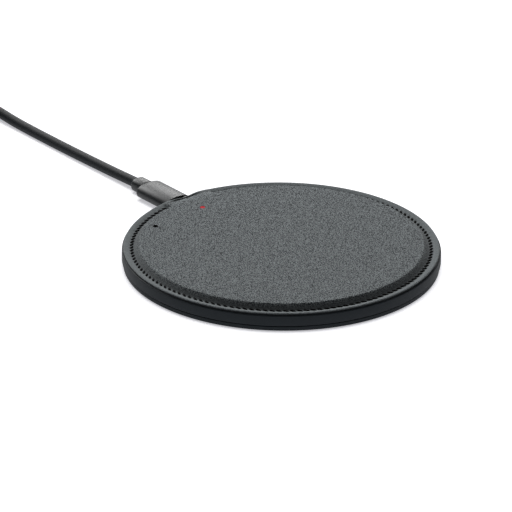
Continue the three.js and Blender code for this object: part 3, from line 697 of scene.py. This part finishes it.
# ---- Soft top ----------------------------------
RIM_Z = PAD_HEIGHT - RIM_DROP
BAND_INNER = SKIN_EDGE - BAND_WIDTH
GROOVE_INNER = BAND_INNER - GROOVE_WIDTH
GROOVE_Z = RIM_Z - GROOVE_DEPTH
SHOULDER_TOP = GROOVE_INNER - SHOULDER_WIDTH
STITCH_RADIUS = BAND_INNER - 0.3 * MM
LIP_SPAN = (BAND_INNER - 0.3 * MM, BAND_INNER + 0.05 * MM)
STITCH_START = CONNECTOR + RUN_OUT_ANGLE
STITCH_ARC = FULL_TURN - 2 * RUN_OUT_ANGLE


def smooth_step(low, high, value):
    """0 below low, 1 above high, and an even curve between."""
    t = min(1.0, max(0.0, (value - low) / (high - low)))
    return t * t * (3 - 2 * t)


def skin_edge_at(angle):
    """Radius of the skin's edge: round, with a shallow scallop over the plug."""
    x = SKIN_EDGE * math.cos(angle)
    if math.sin(angle) <= 0 or abs(x) >= SCALLOP_WIDTH / 2:
        return SKIN_EDGE
    share = 0.5 + 0.5 * math.cos(math.pi * x / (SCALLOP_WIDTH / 2))
    return SKIN_EDGE - SCALLOP_DEPTH * share


def stitched_height(radius, angle):
    """Height of the skin where it is stitched down: flat, shoulder, groove and rim band."""
    if radius <= SHOULDER_TOP:
        return PAD_HEIGHT
    run = (radius - SHOULDER_TOP) / SHOULDER_WIDTH
    eased = 0.35 * smooth_step(0, 1, run) + 0.65 * min(1.0, run)
    shoulder = PAD_HEIGHT - (PAD_HEIGHT - GROOVE_Z) * eased
    inward = 1 - (radius - BAND_INNER) / BAND_WIDTH
    lip = 1 - smooth_step(*LIP_SPAN, radius)
    band = RIM_Z - BAND_FALL * (0.3 * inward + 0.7 * inward ** 2) - LIP_DROP * lip
    return max(shoulder, band) - DIMPLE_DEPTH * dimple(radius, angle)


def dimple(radius, angle):
    """Share of a stitch's pull on the skin near it, from 0 to 1."""
    turn = (angle - STITCH_START) % FULL_TURN
    if turn > STITCH_ARC or radius < GROOVE_INNER - DIMPLE_REACH:
        return 0.0
    spacing = STITCH_ARC / STITCH_COUNT
    along = ((turn / spacing) % 1 - 0.5) * spacing * STITCH_RADIUS
    out = radius - STITCH_RADIUS
    deepest = 0.0
    for shift in (-1, 0, 1):
        far = along - shift * spacing * STITCH_RADIUS
        run = far * math.cos(STITCH_SLANT) - out * math.sin(STITCH_SLANT)
        side = far * math.sin(STITCH_SLANT) + out * math.cos(STITCH_SLANT)
        run = max(0.0, abs(run) - STITCH_LENGTH * 0.3)
        deepest = max(deepest, math.exp(-(run / DIMPLE_END) ** 2 - (side / DIMPLE_SIDE) ** 2))
    return deepest


def run_out_height(radius, angle):
    """Height of the skin where it runs on over the connector, down to a thin edge beyond a sunken
    hollow.
    """
    body = PAD_HEIGHT - RUN_OUT_FALL * smooth_step(*RUN_OUT_SPAN, radius)
    middle = 1 - smooth_step(*RUN_OUT_SIDE, abs(radius * math.cos(angle)))
    dip = DIP_DEPTH * smooth_step(*DIP_SPAN, radius) * middle
    welt = WELT_HEIGHT * smooth_step(*WELT_SPAN, radius) * middle
    return body - dip + welt


def unstitched(angle):
    """1 where the skin runs on over the connector, and 0 where it is stitched."""
    off = abs(math.atan2(math.sin(angle - CONNECTOR), math.cos(angle - CONNECTOR)))
    return 1 - smooth_step(RUN_OUT_ANGLE - math.radians(1.0), RUN_OUT_ANGLE, off)


def skin_point(radius, angle):
    """A point of the skin's face, given its radius before the scallop draws it in."""
    free = unstitched(angle)
    height = stitched_height(radius, angle) * (1 - free) + run_out_height(radius, angle) * free
    drawn = smooth_step(SCALLOP_FROM, SKIN_EDGE, radius) * (SKIN_EDGE - skin_edge_at(angle))
    return radius - drawn, height


def skin_stations():
    """Radii of the rings that carry the skin's face."""
    stations = [0.0]
    for low, high, count in SKIN_SPANS:
        stations += [(low + (high - low) * (k + 1) / count) * MM for k in range(count)]
    return stations


def make_skin():
    """The leather: spun flat, then drawn down to its seam, its edge and its scallop.

    In the outline, the rings of the edge and the underside are numbered by heights below zero,
    -1 mm, -2 mm and so on, and each gets its real height after the spin.
    """
    outline = [(r, PAD_HEIGHT) for r in skin_stations()]
    edge_ring = outline[-1][0]
    for k in range(1, EDGE_STEPS + 1):
        angle = k / EDGE_STEPS * math.pi / 2
        outline.append((SKIN_EDGE - EDGE_ROUND * (1 - math.sin(angle)), -k * MM))
    foot = EDGE_STEPS + 1
    outline += [(SKIN_EDGE, -foot * MM), (SKIN_EDGE - 0.05 * MM, -(foot + 1) * MM),
                (0, -(foot + 2) * MM)]
    bm = spun(outline, SKIN_STEPS)
    low = SKIN_LOW.z
    for vert in bm.verts:
        x, y, z = vert.co
        angle = math.atan2(y, x)
        radius = math.hypot(x, y)
        if z > 0:
            radius, height = skin_point(radius, angle)
        else:
            place = round(-z / MM)
            _, edge_height = skin_point(edge_ring, angle)
            inset = SKIN_EDGE - skin_edge_at(angle)
            if place <= EDGE_STEPS:
                fall = EDGE_ROUND * (1 - math.cos(place / EDGE_STEPS * math.pi / 2))
                height = edge_height - fall
            else:
                height = low + 0.05 * MM if place == foot else low
            radius = max(0.0, radius - inset) if radius > 0 else 0.0
        vert.co = (radius * math.cos(angle), radius * math.sin(angle), height)
    materials = [SUEDE, HOLE_SHADE, EDGE_SHADE]
    # The skin's side and underside take a dark material: painted shade under the rim's rolled edge.
    for face in bm.faces:
        if max(vert.co.z for vert in face.verts) < RIM_Z - 0.16 * MM and face.normal.z < 0.5:
            face.material_index = materials.index(EDGE_SHADE)
    lights = [cylinder(LIGHT_HOLE, 0, CLEAR_ABOVE, *middle_of(name).xy)
              for name in ("power_light_pipe", "status_light_pipe")]
    # The holes' walls take the black material: painted shade inside the holes.
    for light in lights:
        for face in light.faces:
            face.material_index = materials.index(HOLE_SHADE)
    bm = combined(bm, lights, "DIFFERENCE")
    drawn = bm.verts.layers.float.new("smooth_nap_and_highlight")
    painted_shade = bm.verts.layers.float.new("painted_shade")
    for vert in bm.verts:
        radius, angle = vert.co.xy.length, math.atan2(vert.co.y, vert.co.x)
        stitched = 1 - unstitched(angle)
        slope = smooth_step(SHOULDER_TOP, SHOULDER_TOP + 0.4 * MM, radius)
        slope *= 1 - smooth_step(GROOVE_INNER, BAND_INNER, radius)
        welt = smooth_step(*WELT_SPAN, radius)
        hollow = smooth_step(*DIP_SPAN, radius) - welt
        # Smoother, lighter nap down to the seam; on the welt over the connector this lightening is a
        # painted highlight.
        vert[drawn] = (0.8 * stitched * smooth_step(SHOULDER_TOP, GROOVE_INNER, radius)
                       + (1 - stitched) * welt)
        # Painted shade on the shoulder's slope and in the hollow over the connector, and painted
        # shadow in the dimples round the stitches.
        vert[painted_shade] = (stitched * max(0.36 * slope, dimple(radius, angle))
                         + (1 - stitched) * 0.4 * hollow)
    piece = finished("soft_top", bm, materials, "pad", sharp=50)
    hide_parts("top_skin")


def make_stitches():
    """One short slanted thread at a time, each dipping into its needle holes at both ends."""
    bm = bmesh.new()
    for k in range(STITCH_COUNT):
        angle = STITCH_START + (k + 0.5) / STITCH_COUNT * STITCH_ARC
        made = bmesh.ops.create_uvsphere(bm, u_segments=8, v_segments=8, radius=0.5)["verts"]
        for vert in made:
            x, y, z = vert.co
            vert.co = (y * THREAD_WIDTH, z * STITCH_LENGTH,
                       x * THREAD_HEIGHT - (2 * z) ** 4 * STITCH_DIP)
        turn = Matrix.Rotation(angle + STITCH_SLANT, 4, "Z")
        place = Vector((math.cos(angle), math.sin(angle), 0)) * STITCH_RADIUS
        place.z = GROOVE_Z + THREAD_LIFT
        bmesh.ops.transform(bm, matrix=Matrix.Translation(place) @ turn, verts=made)
    piece = finished("stitches", bm, THREAD, "pad", sharp=80)
    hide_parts("stitching")


make_skin()
make_stitches()


# ---- Shells and underside ----------------------
RING_OUTER = RING_HIGH.x
RING_INNER = RING_OUTER - RING_WIDTH
SEAM_TOP = SHELL_LOW.z
SEAM_BOTTOM = SEAM_TOP - 0.3 * MM
WALL_INNER = PAD_RADIUS - 1.1 * MM
DECK_TOP = SHELL_HIGH.z
DECK_BOTTOM = DECK_TOP - 0.9 * MM
FLOOR_TOP = BASE_LOW.z + 1.0 * MM
SEAT_ROOF = BASE_LOW.z + 0.55 * MM
BOSS_SPLIT = FLOOR_TOP + 0.9 * MM
PORT_ROOM = (PORT_HIGH.x - PORT_LOW.x + 0.6 * MM, PORT_HIGH.z - PORT_LOW.z + 0.6 * MM)


def port_cutter():
    """The slot that the connector goes into, through both shells."""
    return prism_y(stadium(*PORT_ROOM), PORT_LOW.y - 0.3 * MM, PAD_RADIUS + 5 * MM, (0, PORT_Z))


def screw_places():
    """Centres of the four case screws."""
    return [middle_of(f"case_screw_{i}").xy for i in (1, 2, 3, 4)]


def make_top_shell():
    """The tall wall and the deck under the skin, with screw bosses below the deck."""
    outline = rounded([
        (0, DECK_BOTTOM, 0),
        (WALL_INNER, DECK_BOTTOM, 0.3 * MM),
        (WALL_INNER, SEAM_TOP, 0),
        (PAD_RADIUS, SEAM_TOP, 0.25 * MM),
        (PAD_RADIUS, DECK_TOP, 0.4 * MM),
        (PAD_RADIUS - 1.5 * MM, DECK_TOP, 0),
        (0, DECK_TOP, 0),
    ])
    bosses = [cylinder(UPPER_BOSS, BOSS_SPLIT + 0.05 * MM, DECK_BOTTOM + 0.2 * MM, *place)
              for place in screw_places()]
    body = combined(spun(outline, 256), bosses, "UNION")
    pilots = [cylinder(PILOT_HOLE, 0, DECK_BOTTOM + 0.15 * MM, *place) for place in screw_places()]
    pipes = [cylinder(POWER_PIPE_ROOM, 0, CLEAR_ABOVE, *middle_of("power_light_pipe").xy),
             cylinder(STATUS_PIPE_ROOM, 0, CLEAR_ABOVE, *middle_of("status_light_pipe").xy)]
    depth, half = SCALLOP_DEPTH, SCALLOP_WIDTH / 2
    radius = (half ** 2 + depth ** 2) / (2 * depth)
    relief = cylinder(radius, PORT_Z + PORT_ROOM[1] / 2 + 0.45 * MM, CLEAR_ABOVE, 0,
                      SKIN_EDGE - depth + radius, 128)
    body = combined(body, [*pilots, *pipes, port_cutter(), relief], "DIFFERENCE")
    piece = finished("upper_case", body, ABS, "pad", sharp=40)
    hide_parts("top_shell")


def make_base_shell():
    """The floor and the low wall under the seam, with seats for the ring, screws and label."""
    fit, low = 0.15 * MM, BASE_LOW.z
    rib_out, rib_in = WALL_INNER - 0.3 * MM, WALL_INNER - 1.6 * MM
    platform, platform_top = 24 * MM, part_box("ferrite_sheet")[0].z - 0.05 * MM
    platform_inner = platform - 5 * MM
    lip = BASE_HIGH.x
    outline = rounded([
        (0, low, 0),
        (RING_INNER - fit, low, 0.15 * MM),
        (RING_INNER - fit, SEAT_ROOF, 0),
        (RING_OUTER + fit, SEAT_ROOF, 0),
        (RING_OUTER + fit, low, 0.15 * MM),
        (lip, low, 0.4 * MM),
        (lip, SEAM_BOTTOM, 0.2 * MM),
        (rib_out, SEAM_BOTTOM, 0),
        (rib_out, BASE_HIGH.z, 0.2 * MM),
        (rib_in, BASE_HIGH.z, 0.2 * MM),
        (rib_in, FLOOR_TOP, 0),
        (platform, FLOOR_TOP, 0),
        (platform, platform_top, 0),
        (platform_inner, platform_top, 0),
        (platform_inner, FLOOR_TOP, 0),
        (0, FLOOR_TOP, 0),
    ])
    bosses = [cylinder(LOWER_BOSS, SEAT_ROOF + 0.1 * MM, BOSS_SPLIT, *place)
              for place in screw_places()]
    body = combined(spun(outline, 256), bosses, "UNION")
    rooms = []
    for place in screw_places():
        rooms.append(cylinder(HEAD_ROOM, 0, SEAT_ROOF + 0.65 * MM, *place))
        rooms.append(cylinder(SHANK_ROOM, 0, CLEAR_ABOVE, *place))
    label_low, label_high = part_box("blank_label")
    edge = Vector((0.3 * MM, 0.3 * MM, 0))
    label_room = box(label_low - edge - Vector((0, 0, 1 * MM)),
                     label_high + edge + Vector((0, 0, 0.05 * MM)))
    body = combined(body, [*rooms, port_cutter(), label_room], "DIFFERENCE")
    piece = finished("lower_case", body, ABS, "pad", sharp=40)
    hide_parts("base_shell")


def make_foot_ring():
    """Silicone ring with two shallow grooves round its tread."""
    tread = []
    for share in (0.33, 0.67):
        middle = RING_INNER + share * (RING_OUTER - RING_INNER)
        tread += [(middle - 0.35 * MM, 0, 0.05 * MM), (middle - 0.2 * MM, 0.15 * MM, 0.05 * MM),
                  (middle + 0.2 * MM, 0.15 * MM, 0.05 * MM), (middle + 0.35 * MM, 0, 0.05 * MM)]
    outline = rounded([
        (RING_INNER, RING_HIGH.z, 0),
        (RING_INNER, 0, 0.2 * MM),
        *tread,
        (RING_OUTER, 0, 0.2 * MM),
        (RING_OUTER, RING_HIGH.z, 0),
    ], 4)
    piece = finished("foot_ring", spun(outline, 256, closed=True), SILICONE, "pad")
    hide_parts("anti_slip_ring")


def make_label():
    """The blank rating label in its seat, its lower edge eased."""
    low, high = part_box("blank_label")
    bm = bmesh.new()
    outline = rounded_box(high.x - low.x, high.y - low.y, 1.5 * MM)
    loops = []
    for z, inset in ((low.z, 0.04 * MM), (low.z + 0.04 * MM, 0), (high.z, 0)):
        loops.append([(x * (1 - inset / high.x), y * (1 - inset / high.y), z) for x, y in outline])
    piece = finished("blank_label_film", bridged(bm, loops), FILM, "pad")
    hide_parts("blank_label")


make_top_shell()
make_base_shell()
make_foot_ring()
make_label()


# ---- USB-C plug --------------------------------
def make_c_grip():
    """Moulded grip with a plain nose that meets the pad."""
    low, high = BODY_LOW, BODY_HIGH
    nose_end = low.y + NOSE_LENGTH
    body = grip(oval(high.x - low.x, high.z - low.z, GRIP_SQUARENESS), nose_end, high.y,
                (0, PORT_Z), (0.35 * MM, 1.1 * MM))
    nose = prism_y(stadium(NOSE_WIDTH, NOSE_HEIGHT), low.y, nose_end + 1 * MM, (0, PORT_Z))
    body = combined(body, [nose], "UNION")
    shell_low, shell_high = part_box("usb_c_shell")
    socket = stadium(shell_high.x - shell_low.x + SOCKET_FIT,
                     shell_high.z - shell_low.z + SOCKET_FIT)
    pocket = prism_y(socket, low.y - 1 * MM, shell_high.y + POCKET_FIT, (0, PORT_Z))
    body = combined(body, [pocket], "DIFFERENCE")
    piece = finished("usb_c_grip", body, ELASTOMER, "lead", sharp=40)
    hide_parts("usb_c_overmould")
    return piece


def make_c_relief():
    """Short collar between the grip and the cord."""
    low, high = RELIEF_LOW, RELIEF_HIGH
    section = oval(high.x - low.x, high.z - low.z, COLLAR_SQUARENESS)
    middle = (0, (low.z + high.z) / 2)
    body = grip(section, low.y, high.y, middle, (0.2 * MM, 0.9 * MM))
    piece = finished("usb_c_relief", body, ELASTOMER, "lead")
    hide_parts("usb_c_strain_relief")
    return piece


def make_c_shell():
    """Drawn metal shell, open at both ends."""
    low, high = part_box("usb_c_shell")
    width, height, wall = high.x - low.x, high.z - low.z, 0.28 * MM
    body = sleeve(stadium(width, height), stadium(width - 2 * wall, height - 2 * wall),
                  low.y, high.y, (0, PORT_Z), 0.08 * MM)
    piece = finished("usb_c_metal_shell", body, NICKEL, "lead")
    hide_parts("usb_c_shell")
    return piece


c_pieces = [make_c_grip(), make_c_relief(), make_c_shell()]


# ---- USB-A plug and the coil's tie -------------
def make_a_grip():
    """Moulded grip with a pocket for the metal shell."""
    low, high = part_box("usb_a_overmould")
    centre = (low + high) / 2
    width, height = high.x - low.x, high.z - low.z
    body = grip(rounded_box(width, height, 2.6 * MM, 8), low.y, high.y, (centre.x, centre.z),
                (0.6 * MM, 1.6 * MM))
    shell_low, shell_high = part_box("usb_a_shell")
    socket = rounded_box(shell_high.x - shell_low.x + SOCKET_FIT,
                         shell_high.z - shell_low.z + SOCKET_FIT, 0.5 * MM)
    pocket = prism_y(socket, low.y - 1 * MM, shell_high.y + POCKET_FIT, (centre.x, centre.z))
    body = combined(body, [pocket], "DIFFERENCE")
    piece = finished("usb_a_grip", body, ELASTOMER, "lead", sharp=40)
    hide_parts("usb_a_overmould")
    return piece


def make_a_relief():
    """Tapered strain relief with ribs."""
    low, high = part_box("usb_a_strain_relief")
    centre = (low + high) / 2
    length, wide = high.y - low.y, (high.x - low.x) / 2
    narrow = CORD_DIAMETER / 2 + 0.5 * MM
    rib_height, rib_count = 0.25 * MM, 4.5
    loops = []
    count = 48
    for k in range(count + 1):
        share = k / count
        radius = wide + (narrow - wide) * share
        rib = rib_height * max(0.0, math.sin(share * rib_count * FULL_TURN)) * (1 - share * 0.3)
        radius = min(wide, radius + rib - rib_height)
        if k in (0, count):
            radius -= 0.2 * MM
        y = low.y + share * length
        loops.append([(centre.x + radius * math.cos(i / 32 * FULL_TURN), y,
                       centre.z + radius * math.sin(i / 32 * FULL_TURN)) for i in range(32)])
    piece = finished("usb_a_relief", bridged(bmesh.new(), loops), ELASTOMER, "lead")
    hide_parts("usb_a_strain_relief")
    return piece


def make_a_shell():
    """Folded metal shell with two latch windows in each broad face."""
    low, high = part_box("usb_a_shell")
    centre = (low + high) / 2
    width, height, wall = high.x - low.x, high.z - low.z, 0.35 * MM
    body = sleeve(rounded_box(width, height, 0.6 * MM),
                  rounded_box(width - 2 * wall, height - 2 * wall, 0.25 * MM),
                  low.y, high.y, (centre.x, centre.z), 0.1 * MM)
    windows = []
    off_centre, from_lip, half, length = 2.6 * MM, 5.2 * MM, 1.0 * MM, 2.0 * MM
    y = low.y + from_lip
    for side in (-1, 1):
        x = centre.x + side * off_centre
        windows.append(box((x - half, y, low.z - 1 * MM), (x + half, y + length, high.z + 1 * MM)))
    body = combined(body, windows, "DIFFERENCE")
    piece = finished("usb_a_metal_shell", body, NICKEL, "lead", sharp=40)
    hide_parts("usb_a_shell")
    return piece


def make_tie():
    """Hook-and-loop strap round the coil, its edges eased."""
    bm = bmesh.new()
    bm.from_mesh(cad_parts["cord_tie"].data)
    bmesh.ops.remove_doubles(bm, verts=bm.verts, dist=1e-6)
    sharp = [e for e in bm.edges if len(e.link_faces) == 2 and e.calc_face_angle(0) > 1.2]
    bmesh.ops.bevel(bm, geom=sharp, offset=0.12 * MM, affect="EDGES", segments=2, profile=0.5,
                    material=-1)
    piece = finished("coil_strap", bm, LOOP_TAPE, "lead", sharp=50)
    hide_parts("cord_tie")
    return piece


a_pieces = [make_a_grip(), make_a_relief(), make_a_shell(), make_tie()]


# ---- Materials of the CAD nodes that stay ------
NODE_MATERIALS = {
    "foam_pad": FOAM,
    "case_screw": ZINC,
    "ferrite_sheet": FERRITE,
    "charging_coil": COPPER,
    "coil_lead": COPPER,
    "circuit_board": LAMINATE,
    "controller_ic": EPOXY,
    "bridge_mosfet": EPOXY,
    "power_inductor": EPOXY,
    "sense_resistor": EPOXY,
    "thermistor": EPOXY,
    "resonant_capacitor": CERAMIC,
    "input_capacitor": CERAMIC,
    "power_led": WHITE,
    "status_led": WHITE,
    "power_light_pipe": LIT,
    "status_light_pipe": UNLIT,
    "receptacle_shell": BLACK_PLATE,
    "receptacle_tongue": POLYMER,
    "usb_c_insert": POLYMER,
    "usb_c_contacts": GOLD,
    "usb_a_insulator": WHITE,
    "usb_a_contact": GOLD,
}


def finish_nodes():
    """Give each CAD node that still shows its material, by the start of its name."""
    for name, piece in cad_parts.items():
        if piece.hide_render:
            continue
        found = [m for start, m in NODE_MATERIALS.items() if name.startswith(start)]
        piece.data.materials.clear()
        piece.data.materials.append(found[0])


finish_nodes()


# ---- Floor and light ---------------------------
def make_floor():
    """Plain pale floor, glowing a little like a light table so that its shadow stays soft."""
    made = new_material("pale_floor")
    paper = node(made, "ShaderNodeBsdfDiffuse", Color=linear("#f4f4f5")).outputs[0]
    glow = node(made, "ShaderNodeEmission", Color=linear("#fafaff"), Strength=0.5).outputs[0]
    both = node(made, "ShaderNodeAddShader", i0=paper, i1=glow).outputs[0]
    node(made, "ShaderNodeOutputMaterial", Surface=both)
    bm = bmesh.new()
    bmesh.ops.create_grid(bm, x_segments=1, y_segments=1, size=6,
                          matrix=Matrix.Translation((0, 0, -0.05 * MM)))
    mesh = bpy.data.meshes.new("floor")
    bm.to_mesh(mesh)
    bm.free()
    mesh.materials.append(made)
    floor = bpy.data.objects.new("floor", mesh)
    bpy.context.scene.collection.objects.link(floor)
    return floor


def lit_by(lamp, floor, state):
    """Give a lamp to the floor alone, or to everything but the floor."""
    group = bpy.data.collections.new(lamp.name)
    group.objects.link(floor)
    lamp.light_linking.receiver_collection = group
    group.collection_objects[0].light_linking.link_state = state


def make_lamp(name, bearing, elevation, reach, size, power):
    """A square soft light aimed at the pad, its bearing in degrees from straight behind."""
    turn = math.radians(90 - bearing + CAMERA_AZIMUTH)
    rise = math.radians(elevation)
    place = reach * Vector((math.cos(turn) * math.cos(rise), math.sin(turn) * math.cos(rise),
                            math.sin(rise)))
    data = bpy.data.lights.new(name, "AREA")
    data.shape = "SQUARE"
    data.size = size
    data.energy = power
    lamp = bpy.data.objects.new(name, data)
    bpy.context.scene.collection.objects.link(lamp)
    facing = place.to_track_quat("Z", "Y").to_matrix().to_4x4()
    lamp.matrix_world = Matrix.Translation(place) @ facing
    return lamp


def make_world():
    """Dim room, white where the camera looks past the floor."""
    world = bpy.data.worlds.new("studio")
    world.use_nodes = True
    background = world.node_tree.nodes["Background"]
    seen = world.node_tree.nodes.new("ShaderNodeLightPath").outputs["Is Camera Ray"]
    level = world.node_tree.nodes.new("ShaderNodeMapRange")
    level.inputs["To Min"].default_value = 0.06
    level.inputs["To Max"].default_value = 1.0
    world.node_tree.links.new(seen, level.inputs["Value"])
    world.node_tree.links.new(level.outputs[0], background.inputs[1])
    background.inputs[0].default_value = (1, 1, 1, 1)
    bpy.context.scene.world = world


pale_floor = make_floor()
for settings in (("behind_left", -32, 28, 1.6, 0.6, 19),
                 ("behind_right", 4, 28, 1.6, 0.6, 14), ("overhead", 0, 75, 1.6, 1.2, 6)):
    lit_by(make_lamp(*settings), pale_floor, "EXCLUDE")
lit_by(make_lamp("floor_wash", -8, 87, 1.6, 1.6, 31), pale_floor, "INCLUDE")
make_world()
bpy.context.scene.view_settings.view_transform = "Standard"
